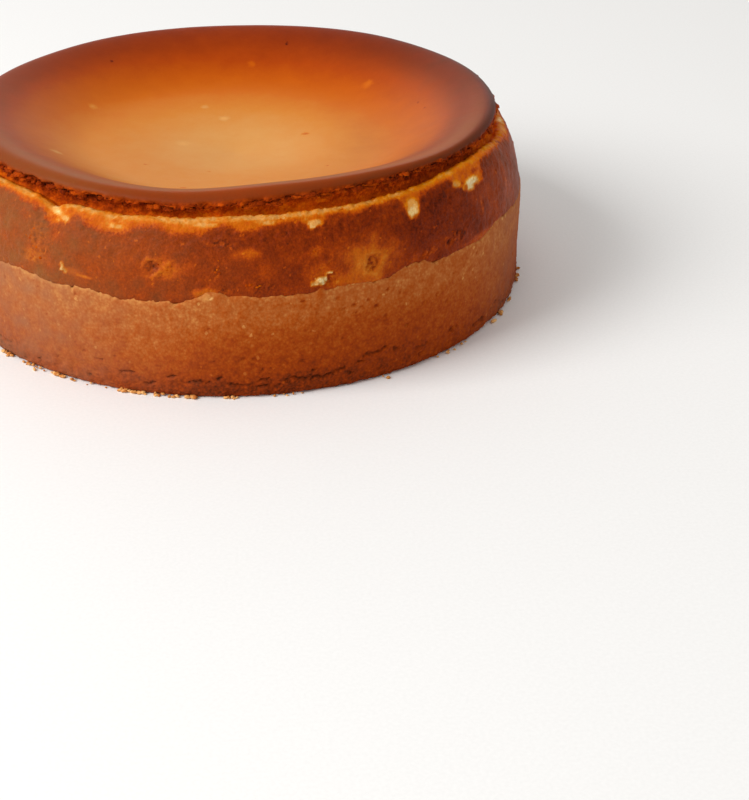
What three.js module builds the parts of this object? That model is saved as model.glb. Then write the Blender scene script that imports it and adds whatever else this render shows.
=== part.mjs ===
// A whole baked cheesecake, uncut, as it comes out of its round tin.
//
// It has two pieces. The crumb crust is a shallow cup, pressed over the bottom of the tin and
// part of the way up its side. The cheese filling is baked in that cup. It rose above the tin
// while it baked and sank again as it cooled, which left a dished top with a raised rim, a torn
// skin edge round the rim, a groove under that edge, and a ledge where the filling had stuck to
// the tin.
//
// Units are millimetres and +Z is up. The origin is the middle of the flat underside. Angles go
// round the cake from the front (-Y), and are positive towards the right (+X).

import * as THREE from "three";

// Driving dimensions
const TIN_RADIUS = 116.5; // inside of the tin, which the crust fills
const CREST_HEIGHT = 74; // top of the rim
const DISH_DEPTH = 25; // how far the middle sank below the rim
const LEDGE_HEIGHT = 65.6; // top of the ledge outside the rim
const CRUST_HEIGHT = 39.8; // top edge of the crust on the side
const CRUST_WALL = 3.2; // thickness of the crust on the side
const CRUST_BASE = 7; // thickness of the crust on the bottom
const FIT_GAP = 0.3; // clearance between the filling and the crust

// Sizes worked out from them
const CREST_RADIUS = TIN_RADIUS - 16.5;
const TORN_RADIUS = CREST_RADIUS + 5.3; // the skin's torn edge overhangs the groove
const TORN_DROP = 4.6; // from the crest down to the torn edge
const LEDGE_RADIUS = TIN_RADIUS - 9.5;
const CUP_RADIUS = TIN_RADIUS - CRUST_WALL; // inside of the crust
const DISH_FLOOR = CREST_HEIGHT - DISH_DEPTH;

// How finely the surfaces are divided
const SEGMENTS = 160; // steps round the cake
const DISH_STEPS = 9; // rings from the middle to the crest
const TURN = 2 * Math.PI;
const radians = THREE.MathUtils.degToRad;

// Nothing baked is quite round or level. Each wave is [times round, height, phase in degrees].
const OUT_OF_ROUND = [
  [2, 0.35, 20],
  [4, 0.2, 70],
];
const RIM_WAVES = [[1, 1.8, -40]];
const LEDGE_WAVES = [
  [1, 0.9, -20],
  [23, 0.25, 10],
];
const CRUST_WAVES = [
  [1, 1.3, -60],
  [17, 0.35, 50],
  [29, 0.3, 120],
];
const TORN_WAVES = [
  [31, 0.45, 0],
  [47, 0.5, 80],
  [67, 0.45, 200],
];

// Places where a line round the cake rises or falls. Each is [angle, half width, height], in
// degrees and millimetres.
const RIM_SWELLS = [
  [-12, 14, -1.8],
  [33, 20, 1.2],
];
const LEDGE_SWELLS = [
  [-36.5, 2.4, -2.6],
  [-20, 14, -1.2],
  [55, 16, 2.4],
  [100, 30, -2.3],
];
const CRUST_SWELLS = [
  [-18, 9, -2.2],
  [-5.3, 1.9, 2.4],
  [32, 4, 2.4],
  [60, 7, 2],
];

// Dents where the side stuck to the tin and pulled away: [angle, height, half width, depth].
const SIDE_DENTS = [
  [-15, 50, 4.5, 1.4],
  [24, 46.5, 5, 1.3],
  [-39, 51, 6, 0.8],
  [104, 50, 6, 1],
  [163, 55, 5, 1.1],
  [-128, 47, 6, 1.2],
];

function waves(angle, list) {
  return list.reduce(
    (sum, [times, height, phase]) => sum + height * Math.cos(times * angle + radians(phase)),
    0,
  );
}

// 1 at the given angle, falling smoothly to 0 on both sides of it.
function swell(angle, centre, halfWidth) {
  const away = angle - radians(centre);
  const turned = Math.atan2(Math.sin(away), Math.cos(away)) / radians(halfWidth);
  return Math.exp(-turned * turned);
}

function swells(angle, list) {
  return list.reduce(
    (sum, [centre, halfWidth, height]) => sum + height * swell(angle, centre, halfWidth),
    0,
  );
}

const crestAt = (angle) => CREST_HEIGHT + waves(angle, RIM_WAVES) + swells(angle, RIM_SWELLS);
const ledgeAt = (angle) => LEDGE_HEIGHT + waves(angle, LEDGE_WAVES) + swells(angle, LEDGE_SWELLS);
const crustEdgeAt = (angle) =>
  CRUST_HEIGHT + waves(angle, CRUST_WAVES) + swells(angle, CRUST_SWELLS);

// The sunken top: a gentle bowl in the middle and a steeper bank up to the crest. It gives the
// share of the dish's depth at a share of the crest's radius.
function dishRise(share) {
  const bowl = 0.56 * Math.pow(share, 1.2);
  const bank = 0.44 * THREE.MathUtils.smoothstep(share, 0.58, 1);
  return bowl + bank;
}

// A profile is a list of [radius, height] points in one upright plane through the axis.
const toVectors = (points) => points.map(([radius, height]) => new THREE.Vector2(radius, height));

function fillingProfile(angle) {
  const crest = crestAt(angle);
  const ledge = ledgeAt(angle);
  const seam = crustEdgeAt(angle) + FIT_GAP;
  const crag = waves(angle, TORN_WAVES);
  const torn = crest - TORN_DROP + 0.7 * crag;
  const tornRadius = TORN_RADIUS + crag;
  const grooveTop = crest - TORN_DROP - 1;

  const underside = [
    [0, CRUST_BASE + FIT_GAP],
    [CUP_RADIUS - FIT_GAP, CRUST_BASE + FIT_GAP],
    [CUP_RADIUS - FIT_GAP, seam],
  ];
  const side = [
    [TIN_RADIUS - 0.5, seam],
    [TIN_RADIUS - 0.8, ledge - 22],
    [TIN_RADIUS - 1.7, ledge - 16],
    [TIN_RADIUS - 3.1, ledge - 10.5],
    [TIN_RADIUS - 4.7, ledge - 6.5],
    [TIN_RADIUS - 6.2, ledge - 3.4],
  ];
  const shelf = [
    [LEDGE_RADIUS + 1.8, ledge - 0.9],
    [LEDGE_RADIUS, ledge],
    [LEDGE_RADIUS - 1.4, ledge - 0.3],
    [TORN_RADIUS - 1.3, ledge - 1.5],
  ];
  const groove = [
    [TORN_RADIUS - 1.9, (grooveTop + ledge - 1.5) / 2],
    [TORN_RADIUS - 1.7, grooveTop],
    [tornRadius - 1, torn - 0.5],
  ];
  const lip = [
    [tornRadius, torn],
    [TORN_RADIUS - 0.3, crest - 3.2],
    [TORN_RADIUS - 1.3, crest - 1.8],
    [TORN_RADIUS - 3.1, crest - 0.5],
  ];
  const dish = [];
  for (let step = DISH_STEPS; step >= 0; step--) {
    const share = step / DISH_STEPS;
    dish.push([CREST_RADIUS * share, DISH_FLOOR + (crest - DISH_FLOOR) * dishRise(share)]);
  }
  return toVectors([...underside, ...side, ...shelf, ...groove, ...lip, ...dish]);
}

function crustProfile(angle) {
  const edge = crustEdgeAt(angle);
  return toVectors([
    [0, 0],
    [TIN_RADIUS - 1.9, 0],
    [TIN_RADIUS - 0.9, 0.8],
    [TIN_RADIUS - 0.4, 3],
    [TIN_RADIUS, 10],
    [TIN_RADIUS, edge - 12],
    [TIN_RADIUS, edge - 2.5],
    [TIN_RADIUS - 0.3, edge - 0.8],
    [TIN_RADIUS - 1.1, edge],
    [CUP_RADIUS, edge],
    [CUP_RADIUS, CRUST_BASE],
    [0, CRUST_BASE],
  ]);
}

// How far the dents take a point of the outer wall inwards.
function dentAt(angle, height) {
  return SIDE_DENTS.reduce((sum, [centre, level, halfWidth, depth]) => {
    const widthInDegrees = THREE.MathUtils.radToDeg(halfWidth / TIN_RADIUS);
    const upright = (height - level) / halfWidth;
    return sum + depth * swell(angle, centre, widthInDegrees) * Math.exp(-upright * upright);
  }, 0);
}

// A closed solid turned about the Z axis by a profile that changes with the angle. The profile
// starts and ends on the axis.
function turnedSolid(profileAt, dented) {
  const rows = profileAt(0).length;
  const geometry = new THREE.LatheGeometry(profileAt(0), SEGMENTS);
  const position = geometry.attributes.position;
  for (let step = 0; step <= SEGMENTS; step++) {
    const angle = ((step % SEGMENTS) / SEGMENTS) * TURN;
    const roundness = 1 + waves(angle, OUT_OF_ROUND) / TIN_RADIUS;
    profileAt(angle).forEach(({ x, y: height }, row) => {
      const onWall = dented && x > LEDGE_RADIUS;
      const radius = x * roundness - (onWall ? dentAt(angle, height) : 0);
      position.setXYZ(
        step * rows + row,
        radius * Math.sin(angle),
        height,
        radius * Math.cos(angle),
      );
    });
  }
  geometry.rotateX(Math.PI / 2);
  geometry.computeVertexNormals();
  return geometry;
}

function namedMesh(name, geometry, color, roughness) {
  const material = new THREE.MeshStandardMaterial({ color, roughness, metalness: 0 });
  const mesh = new THREE.Mesh(geometry, material);
  mesh.name = name;
  return mesh;
}

const cheesecake = new THREE.Group();
cheesecake.add(
  namedMesh("cheese_filling", turnedSolid(fillingProfile, true), 0xa8551c, 0.45),
  namedMesh("crumb_crust", turnedSolid(crustProfile, false), 0xa9602a, 0.85),
);

export default cheesecake;
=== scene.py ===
# %% [markdown]
# # A baked cheesecake
#
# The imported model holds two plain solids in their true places: the cheese filling, with its
# sunken top, rolled rim and ledge, and the crumb crust that it was baked in. In this lesson each
# of them gets a fine surface of its own, with the tears, craters, pores and cracks that baking
# leaves, then the loose skin and crumbs, and last the browned colours. Everything is measured in
# millimetres here and turned to metres when a mesh is made.

import math

import bmesh
import bpy
import numpy as np
from mathutils import Euler, Matrix, Vector, noise


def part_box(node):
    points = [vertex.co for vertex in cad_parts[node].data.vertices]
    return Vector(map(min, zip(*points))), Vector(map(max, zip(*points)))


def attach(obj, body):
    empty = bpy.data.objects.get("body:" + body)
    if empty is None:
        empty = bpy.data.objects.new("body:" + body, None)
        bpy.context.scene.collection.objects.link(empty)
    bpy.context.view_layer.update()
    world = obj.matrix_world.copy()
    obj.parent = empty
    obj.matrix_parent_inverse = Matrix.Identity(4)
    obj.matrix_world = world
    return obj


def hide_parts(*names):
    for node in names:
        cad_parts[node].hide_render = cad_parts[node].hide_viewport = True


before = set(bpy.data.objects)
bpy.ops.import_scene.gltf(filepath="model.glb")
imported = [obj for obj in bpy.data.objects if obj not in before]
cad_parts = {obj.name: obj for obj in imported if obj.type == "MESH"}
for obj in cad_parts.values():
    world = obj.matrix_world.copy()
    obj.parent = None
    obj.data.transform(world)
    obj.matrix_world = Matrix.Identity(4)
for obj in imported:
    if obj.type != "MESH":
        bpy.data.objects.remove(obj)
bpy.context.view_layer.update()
MM = 0.001
TURN = 2 * math.pi

# %% [markdown]
# The camera stands where the photographer stood: about 62 cm in front of the middle of the cake
# and 28 cm above the table, looking down and a little past the cake to the right. It could be
# aimed with a constraint, but three turned angles say more plainly what it does. A 72 mm lens on
# a 36 mm sensor gives the photograph's narrow view.

# %% Camera
CAMERA_BACK = 619.5
CAMERA_UP = 282.65
LOOK_DOWN = math.radians(29.46)
LOOK_RIGHT = math.radians(5.36)
CAMERA_ROLL = math.radians(0.65)

lens = bpy.data.cameras.new("camera")
lens.sensor_width = 36
lens.lens = 72
camera = bpy.data.objects.new("camera", lens)
camera.matrix_world = (
    Matrix.Translation((0, -CAMERA_BACK * MM, CAMERA_UP * MM))
    @ Matrix.Rotation(-LOOK_RIGHT, 4, "Z")
    @ Matrix.Rotation(math.pi / 2 - LOOK_DOWN, 4, "X")
    @ Matrix.Rotation(CAMERA_ROLL, 4, "Z")
)
scene = bpy.context.scene
scene.collection.objects.link(camera)
scene.camera = camera
scene.view_settings.view_transform = "Standard"

# %% [markdown]
# A studio for food is mostly white card and big soft lamps. The world lights every side evenly.
# A broad lamp high on the left is the main light, and a low one behind the cake is what its
# satin skin mirrors towards the camera, as the window does in a kitchen.

# %% World and lamps
world = bpy.data.worlds.new("studio")
world.use_nodes = True
world.node_tree.nodes["Background"].inputs["Color"].default_value = (1, 0.99, 0.975, 1)
world.node_tree.nodes["Background"].inputs["Strength"].default_value = 0.55
scene.world = world


def soft_lamp(name, place, width, height, watts, aim=(0, 0, 0.04)):
    """A rectangular lamp at a place in metres, turned towards the cake."""
    lamp = bpy.data.lights.new(name, "AREA")
    lamp.shape = "RECTANGLE"
    lamp.size = width
    lamp.size_y = height
    lamp.energy = watts
    made = bpy.data.objects.new(name, lamp)
    made.location = place
    made.rotation_euler = (Vector(aim) - Vector(place)).to_track_quat("-Z", "Y").to_euler()
    scene.collection.objects.link(made)


soft_lamp("main_lamp", (-1.4, -0.6, 1.2), 1.1, 1.0, 33)
soft_lamp("back_lamp", (0.1, 2.0, 0.75), 2.6, 0.9, 6.5)

# %% [markdown]
# Colours are written as the hex values that a paint program shows. Blender mixes light in linear
# values, so one function turns the first into the second. A node's sockets are filled from a
# table: each gets a number or a colour, or is linked to another node's output. A node given by
# itself stands for its first output.


# %% Colours and nodes
def linear(hex_colour):
    """An sRGB colour such as "c06020" as the linear red, green, blue and alpha that nodes take."""
    shares = [int(hex_colour[i : i + 2], 16) / 255 for i in (0, 2, 4)]
    return [s / 12.92 if s <= 0.04045 else ((s + 0.055) / 1.055) ** 2.4 for s in shares] + [1]


def fill(tree, node, sockets):
    """Sets or links the sockets of a node."""
    for socket, value in sockets.items():
        if isinstance(value, bpy.types.Node):
            value = value.outputs[0]
        if isinstance(value, bpy.types.NodeSocket):
            tree.links.new(value, node.inputs[socket])
        else:
            node.inputs[socket].default_value = value


def add(tree, kind, sockets=None, stops=None, **settings):
    """Adds a node, sets its options and colour stops, and fills its sockets."""
    made = tree.nodes.new(kind)
    for name, value in settings.items():
        setattr(made, name, value)
    if stops:
        ramp = made.color_ramp.elements
        ramp[0].position, ramp[1].position = stops[0][0], stops[-1][0]
        ramp[0].color, ramp[1].color = linear(stops[0][1]), linear(stops[-1][1])
        for place, colour in stops[1:-1]:
            ramp.new(place).color = linear(colour)
    fill(tree, made, sockets or {})
    return made


def new_material(name):
    """A material with its node tree, its shader and the place on the object as a vector."""
    material = bpy.data.materials.new(name)
    material.use_nodes = True
    tree = material.node_tree
    place = add(tree, "ShaderNodeTexCoord").outputs["Object"]
    return material, tree, tree.nodes["Principled BSDF"], place


# %% [markdown]
# The floor is a sheet of matt white card. It only has to be pale and plain, so it is one big
# square with a paper tooth too faint to compete with the cake.

# %% Floor
bpy.ops.mesh.primitive_grid_add(x_subdivisions=2, y_subdivisions=2, size=8, location=(0, 0, 0))
floor = bpy.context.object
floor.name = "floor"
CARD_TONES = [(0.3, "f2f1ef"), (0.7, "f6f5f3")]
FIBRES_PER_MM = 0.9
card, tree, shader, place = new_material("matt_white_card")
fibres = add(tree, "ShaderNodeTexNoise", {"Vector": place, "Scale": FIBRES_PER_MM / MM})
tones = add(tree, "ShaderNodeValToRGB", {"Fac": fibres}, stops=CARD_TONES)
fill(tree, shader, {"Base Color": tones, "Roughness": 0.9})
floor.data.materials.append(card)

# %% [markdown]
# Every form of this cake goes round the same axis, so the sizes below are radii and heights, and
# what varies is written by the angle round the cake: 0 at the front, positive to the right. They
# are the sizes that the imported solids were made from, so the fine surfaces lie on the solids.

# %% Sizes of the cake
TIN_RADIUS = 116.5
CREST_HEIGHT = 74
DISH_DEPTH = 25
LEDGE_HEIGHT = 65.6
CRUST_HEIGHT = 39.8
CRUST_WALL = 3.2
CRUST_BASE = 7
FIT_GAP = 0.3

CREST_RADIUS = TIN_RADIUS - 16.5
TORN_RADIUS = CREST_RADIUS + 5.3
TORN_DROP = 4.6
LEDGE_RADIUS = TIN_RADIUS - 9.5
CUP_RADIUS = TIN_RADIUS - CRUST_WALL
DISH_FLOOR = CREST_HEIGHT - DISH_DEPTH

# Waves are (times round, height, phase in degrees). Swells are (angle, half width in degrees,
# height), and the same form says later where a colour or a roughness is stronger or weaker.
OUT_OF_ROUND = [(2, 0.35, 20), (4, 0.2, 70)]
RIM_WAVES = [(1, 1.8, -40)]
RIM_SWELLS = [(-12, 14, -1.8), (33, 20, 1.2)]
LEDGE_WAVES = [(1, 0.9, -20), (23, 0.25, 10)]
LEDGE_SWELLS = [(-36.5, 2.4, -2.6), (-20, 14, -1.2), (55, 16, 2.4), (100, 30, -2.3)]
# The fine crest lies further out and lower in places than the plain solid's.
CREST_OUT_SWELLS = [(-30, 15, 1.0), (46, 30, 3.1)]
CREST_LOW_SWELLS = [(-30, 15, 1.1), (41, 25, 1.9)]
CRUST_WAVES = [(1, 1.3, -60), (17, 0.35, 50), (29, 0.3, 120)]
CRUST_SWELLS = [(-18, 9, -2.2), (-5.3, 1.9, 2.4), (32, 4, 2.4), (60, 7, 2)]
TORN_WAVES = [(31, 0.45, 0), (47, 0.5, 80), (67, 0.45, 200)]


def turned_away(angle, centre):
    """How far each angle lies from a centre in degrees, the short way round, in radians."""
    away = angle - math.radians(centre)
    return np.arctan2(np.sin(away), np.cos(away))


def bell(distance):
    """1 in the middle, falling softly to nothing by a distance of 2."""
    return np.exp(-(distance**2))


def swells(angle, places):
    """Soft hills and hollows along a line round the cake, at each angle."""
    hills = 0 * angle
    for centre, half_width, height in places:
        hills = hills + height * bell(turned_away(angle, centre) / math.radians(half_width))
    return hills


def waves(angle, places):
    """Waves that run all the way round the cake, at each angle."""
    return sum(h * np.cos(times * angle + math.radians(phase)) for times, h, phase in places)


def crest_at(angle):
    return CREST_HEIGHT + waves(angle, RIM_WAVES) + swells(angle, RIM_SWELLS)


def crest_radius_at(angle):
    return CREST_RADIUS + swells(angle, CREST_OUT_SWELLS)


def ledge_at(angle):
    return LEDGE_HEIGHT + waves(angle, LEDGE_WAVES) + swells(angle, LEDGE_SWELLS)


def crust_edge_at(angle):
    return CRUST_HEIGHT + waves(angle, CRUST_WAVES) + swells(angle, CRUST_SWELLS)


low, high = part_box("crumb_crust")
print(f"the crust measures {(high.x - low.x) / MM:.1f} mm across, from {2 * TIN_RADIUS} mm")

# %% [markdown]
# A turned form could come from Blender's Screw modifier, but that repeats one profile, and here
# the profile changes with the angle. So the mesh is knitted from rings. Near the axis a full
# ring would crowd its points together, so the rings halve their number of points as they
# shrink, and each pair of rings is joined by whichever stitch their two counts need.

# %% Rings of points, knitted into one closed skin
SEGMENTS = 960
HALVING_RADIUS = 99
MOST_HALVINGS = 4


def ring_step(radius):
    """Every how many of the full ring's points a ring of this radius keeps."""
    halvings = math.ceil(math.log2(HALVING_RADIUS / max(radius, 0.01)))
    return 2 ** min(max(halvings, 0), MOST_HALVINGS)


def stitch(lower, upper):
    """The faces between two rings of point numbers, of equal counts, of 2 to 1, or to a pole."""
    if len(lower) == 1:
        return [(lower[0], b, a) for a, b in zip(upper, np.roll(upper, -1))]
    if len(upper) == 1:
        return [(a, b, upper[0]) for a, b in zip(lower, np.roll(lower, -1))]
    if len(lower) == len(upper):
        return list(zip(lower, np.roll(lower, -1), np.roll(upper, -1), upper))
    many, few = (lower, upper) if len(lower) > len(upper) else (upper, lower)
    first, middle, last = many[0::2], many[1::2], np.roll(many, -2)[0::2]
    near, far = few, np.roll(few, -1)
    faces = list(zip(first, middle, near)) + list(zip(middle, far, near))
    faces += list(zip(middle, last, far))
    return faces if many is lower else [face[::-1] for face in faces]


def knit(rings):
    """Faces for a list of ring sizes, from one pole to the other."""
    starts = np.cumsum([0] + rings)
    numbered = [np.arange(a, b) for a, b in zip(starts[:-1], starts[1:])]
    faces = []
    for lower, upper in zip(numbered[:-1], numbered[1:]):
        faces += stitch(lower, upper)
    return [tuple(int(i) for i in face) for face in faces]


# %% [markdown]
# A profile is a list of knots, each with a radius, a height and the traits of the surface there.
# Straight lines join them, and averaging neighbours a few times rounds the corners, which gives
# the soft turns of something baked without a spline that could overshoot.


# %% From knots to a fine profile, and from a profile to points
def profile_rows(stretches, angle, rounding):
    """Rows of traits by angle. A stretch is its row spacing and its knots."""
    rows = []
    for spacing, knots in stretches:
        knots = [np.array([np.broadcast_to(v, angle.shape) for v in knot]) for knot in knots]
        for first, second in zip(knots[:-1], knots[1:]):
            length = np.hypot(*(second - first)[:2].mean(axis=1))
            count = max(1, math.ceil(length / spacing))
            rows += [first + (second - first) * i / count for i in range(count)]
        last = knots[-1]
    rows = np.array(rows + [last])
    for _ in range(rounding):
        rows[1:-1] = (rows[:-2] + 2 * rows[1:-1] + rows[2:]) / 4
    return rows


class Turned:
    """The points of a turned form, with the traits of each point as arrays."""

    def __init__(self, stretches_at, traits, rounding):
        angle = np.arange(SEGMENTS) * TURN / SEGMENTS
        rows = profile_rows(stretches_at(angle), angle, rounding)
        kept, self.rings = [], []
        for index, row in enumerate(rows):
            pole = index in (0, len(rows) - 1)
            step = SEGMENTS if pole else ring_step(row[0].mean())
            kept.append(np.vstack([row, angle])[:, ::step])
            self.rings.append(SEGMENTS // step)
        kept = np.hstack(kept)
        self.trait = dict(zip(["radius", "height"] + traits, kept))
        self.angle = kept[-1]
        roundness = 1 + waves(self.angle, OUT_OF_ROUND) / TIN_RADIUS
        radius = self.trait["radius"] * roundness
        self.points = np.stack(
            [radius * np.sin(self.angle), -radius * np.cos(self.angle), self.trait["height"]],
            axis=1,
        )
        self.faces = knit(self.rings)

    def normals(self):
        """The direction that faces out of the surface at each point."""
        mesh = bpy.data.meshes.new("measure")
        mesh.from_pydata(self.points, [], self.faces)
        found = np.zeros(len(self.points) * 3)
        mesh.vertex_normals.foreach_get("vector", found)
        bpy.data.meshes.remove(mesh)
        return found.reshape(-1, 3)


# %% [markdown]
# Baked surfaces are irregular at every size, from the sag of the whole top to single crumbs.
# Blender's own noise gives soft bumps of a chosen size, and its cell noise gives crumbs, each
# with a gap round it. A mark, such as a crater or a patch where the side stuck to the tin, is
# placed by its angle and height, and the noise frays its outline so that no two look alike.


# %% Noise, crumbs and marks
SEED_SHIFT = 37.7


def smooth(share):
    """0 below 0, 1 above 1, and a soft ramp between."""
    share = np.clip(share, 0, 1)
    return share * share * (3 - 2 * share)


def lumps(points, size, seed=0):
    """Soft random bumps about `size` millimetres wide, from about -1 to 1."""
    places = (points / size + SEED_SHIFT * (seed + 1)).tolist()
    return 1.6 * np.array([noise.noise(place) for place in places])


def crumbs(points, size, shown, seed=0):
    """Crumbs `size` millimetres wide where `shown`: 0 in the gaps to 1 on top, and their tones."""
    top, tone = np.ones(len(points)), np.zeros(len(points))
    places = (points[shown] / size + SEED_SHIFT * (seed + 1)).tolist()
    found = [noise.voronoi(place) for place in places]
    top[shown] = smooth(np.array([distances[1] - distances[0] for distances, _ in found]) / 0.35)
    tone[shown] = [noise.cell(middles[0]) for _, middles in found]
    return top, tone


def towards(values, target, share):
    return values + (target - values) * share


def mark_distance(form, angle, height, half_width, half_height):
    """Distance from a mark's middle in its own half sizes, so 1 is its outline."""
    across = TIN_RADIUS * turned_away(form.angle, angle) / half_width
    up = (form.points[:, 2] - height) / half_height
    return np.hypot(across, up)


def ragged(angle, size, seed):
    """The same soft bumps along the foot circle alone, for the run of an edge."""
    circle = TIN_RADIUS * np.stack([np.sin(angle), -np.cos(angle), 0 * angle], axis=1)
    return lumps(circle, size, seed)


# %% [markdown]
# The filling. Its middle sank as it cooled, so the top is a dish. The rim rolled over and the
# skin tore there: the torn edge hangs over a groove, and outside the groove a ledge of filling
# stayed stuck to the tin. How brown a place is goes from 0, raw cream, to 1, nearly black, and
# it is laid along the same knots as the shape, because both come from the heat of the tin. In
# the groove, under the torn edge, it also holds painted shade.

# %% The filling's profile
DISH_BROWNING = [
    (0, 0.34),
    (0.2, 0.35),
    (0.41, 0.43),
    (0.57, 0.53),
    (0.68, 0.63),
    (0.775, 0.71),
    (0.865, 0.77),
    (0.96, 0.81),
    (1, 0.825),
]
DISH_ROWS = 45
# The golden middle isn't round: it reaches further out at the front and the left. The lag is
# the share of the radius by which browning comes later: its mean, its swing and where it peaks.
LAG_MEAN, LAG_SWING, LAG_PEAK = 0.12, 0.15, -24
SIDE_BROWN = 0.815
LEDGE_BROWN, UNDER_LEDGE = 0.39, 0.21
GROOVE_BROWN = 0.6
# Where the groove is browner: partly its own tone, partly painted shade under the torn edge.
GROOVE_TONE_AND_SHADE_SWELLS = [(-34, 24, 0.12), (42, 20, 0.12), (80, 11, -0.12), (150, 40, 0.1)]
FRINGE_BROWN = 0.8
FRINGE_SWELLS = [(-42, 24, -0.05), (44, 26, 0.03), (80, 11, -0.12), (-150, 40, -0.05)]
# Where the torn zone is a deep crumbly slope, and not a thin edge over a clean groove.
CRUMBLY = 0.25
CRUMBLY_SWELLS = [(-46, 26, 0.6), (42, 28, 0.65), (140, 40, 0.5), (-140, 30, 0.3)]
# The side leans in above the tin: how far in from the tin, and how far below the ledge.
SHOULDER = [(0.8, 22), (1.7, 16), (3.1, 10.5), (4.7, 6.5), (6.2, 3.4), (7.7, 0.9)]
# The side runs on a little behind the crust, so that no light shows in the seam.
OVERLAP = 1.6
# How far apart the rings lie where nothing shows, on the side, in the torn zone and in the dish.
HIDDEN_STEP, SIDE_STEP, TORN_STEP, DISH_STEP = 16, 0.85, 0.5, 5


def dish_rise(share):
    """The share of the dish's depth reached at a share of the crest's radius."""
    return 0.56 * share**1.2 + 0.44 * smooth((share - 0.58) / 0.42)


def dish_browning(share, angle):
    lag = LAG_MEAN + LAG_SWING * np.cos(turned_away(angle, LAG_PEAK))
    lag = lag * smooth((share - 0.3) / 0.4) * (1 - 0.55 * smooth((share - 0.78) / 0.22))
    return np.interp(share - lag, *zip(*DISH_BROWNING))


def filling_stretches(angle):
    """Knots of radius, height, browned, torn, wall and fringe."""
    crest, ledge = crest_at(angle), ledge_at(angle)
    seam = crust_edge_at(angle) + FIT_GAP
    groove_top = crest - TORN_DROP - 1
    crag = waves(angle, TORN_WAVES)
    tip = TORN_RADIUS + crag
    torn = crest - TORN_DROP + 0.7 * crag
    groove = GROOVE_BROWN + swells(angle, GROOVE_TONE_AND_SHADE_SWELLS)
    tear = FRINGE_BROWN + swells(angle, FRINGE_SWELLS)
    crumbly = CRUMBLY + swells(angle, CRUMBLY_SWELLS)
    brow, brow_radius = crest - swells(angle, CREST_LOW_SWELLS), crest_radius_at(angle)

    def roll(across, down):
        """A place on the rolled rim, as shares of the way from its crest to the torn edge."""
        return towards(brow_radius, TORN_RADIUS, across), towards(brow, crest - TORN_DROP, down)

    underside = [
        (0, CRUST_BASE + FIT_GAP, 0, 0, 0, 0),
        (CUP_RADIUS - FIT_GAP, CRUST_BASE + FIT_GAP, 0, 0, 0, 0),
        (CUP_RADIUS - FIT_GAP, seam - OVERLAP, SIDE_BROWN, 0, 0, 0),
    ]
    side = [underside[-1]]
    side += [(TIN_RADIUS - 0.5, seam - OVERLAP, SIDE_BROWN, 0, 1, 0)]
    side += [(TIN_RADIUS - 0.35, seam, SIDE_BROWN, 0, 1, 0)]
    side += [(TIN_RADIUS - inset, ledge - drop, SIDE_BROWN, 0, 1, 0) for inset, drop in SHOULDER]
    shelf = [
        side[-1],
        (LEDGE_RADIUS, ledge, SIDE_BROWN, 0.3, 1, 0),
        (LEDGE_RADIUS - 1.4, ledge - 0.3, LEDGE_BROWN + 0.2, 0.6, 0.6, 0),
        # Up the groove and under the torn edge the browning rises: painted shade under the
        # overhang.
        (TORN_RADIUS - 1.3, ledge - 1.5, groove, 0.8, 0, 0),
        (TORN_RADIUS - 1.9, (groove_top + ledge - 1.5) / 2, groove + 0.04, 1, 0, 0.7 * crumbly),
        (TORN_RADIUS - 1.7, groove_top, groove + 0.1, 1, 0, 0.4 + 0.6 * crumbly),
        (tip - 1, torn - 0.6, tear + 0.04, 1, 0, 1),
        (tip, torn, tear, 1, 0, 1),
        (roll(0.98, 0.76)[0] + 0.5 * crag, roll(0, 0.76)[1], tear - 0.02, 0.7, 0, 0.5),
        (*roll(0.9, 0.55), 0.86, 0, 0, 0),
        (*roll(0.72, 0.32), 0.85, 0, 0, 0),
        (*roll(0.4, 0.1), 0.83, 0, 0, 0),
        (brow_radius, brow, dish_browning(1, angle), 0, 0, 0),
    ]
    dish = []
    for share in np.linspace(1, 0, DISH_ROWS):
        height = DISH_FLOOR + (brow - DISH_FLOOR) * dish_rise(share)
        dish.append((brow_radius * share, height, dish_browning(share, angle), 0, 0, 0))
    return [(HIDDEN_STEP, underside), (SIDE_STEP, side), (TORN_STEP, shelf), (DISH_STEP, dish)]


filling = Turned(filling_stretches, ["browned", "torn", "wall", "fringe"], rounding=2)
print(f"filling: {len(filling.rings)} rings, {len(filling.points)} points")

# %% [markdown]
# Where the side stuck to the tin, the brown skin stayed behind and the paler inside shows. Such
# a mark could be painted by hand in an image, but this cake has no images, so each is a line of
# sizes: an angle, a height and half sizes in millimetres. Those at the front lie where the
# photograph shows them, and the rest are drawn at random round the back.

# %% Marks on the filling's side
# Tongues of gold below the ledge: angle, half width in degrees, how far they reach.
TONGUES = [
    (-41.5, 3.4, 0.6),
    (-34.3, 3.0, 3.4),
    (-24.0, 5.2, 2.7),
    (-9.0, 4.0, 1.9),
    (1.6, 2.6, 2.1),
    (13.8, 2.2, 2.8),
    (22.0, 1.6, 0.7),
    (34.2, 2.0, 5.4),
    (49.6, 4.4, 4.2),
    (54.6, 1.3, 5.0),
    (79.5, 5.0, 3.0),
]
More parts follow.
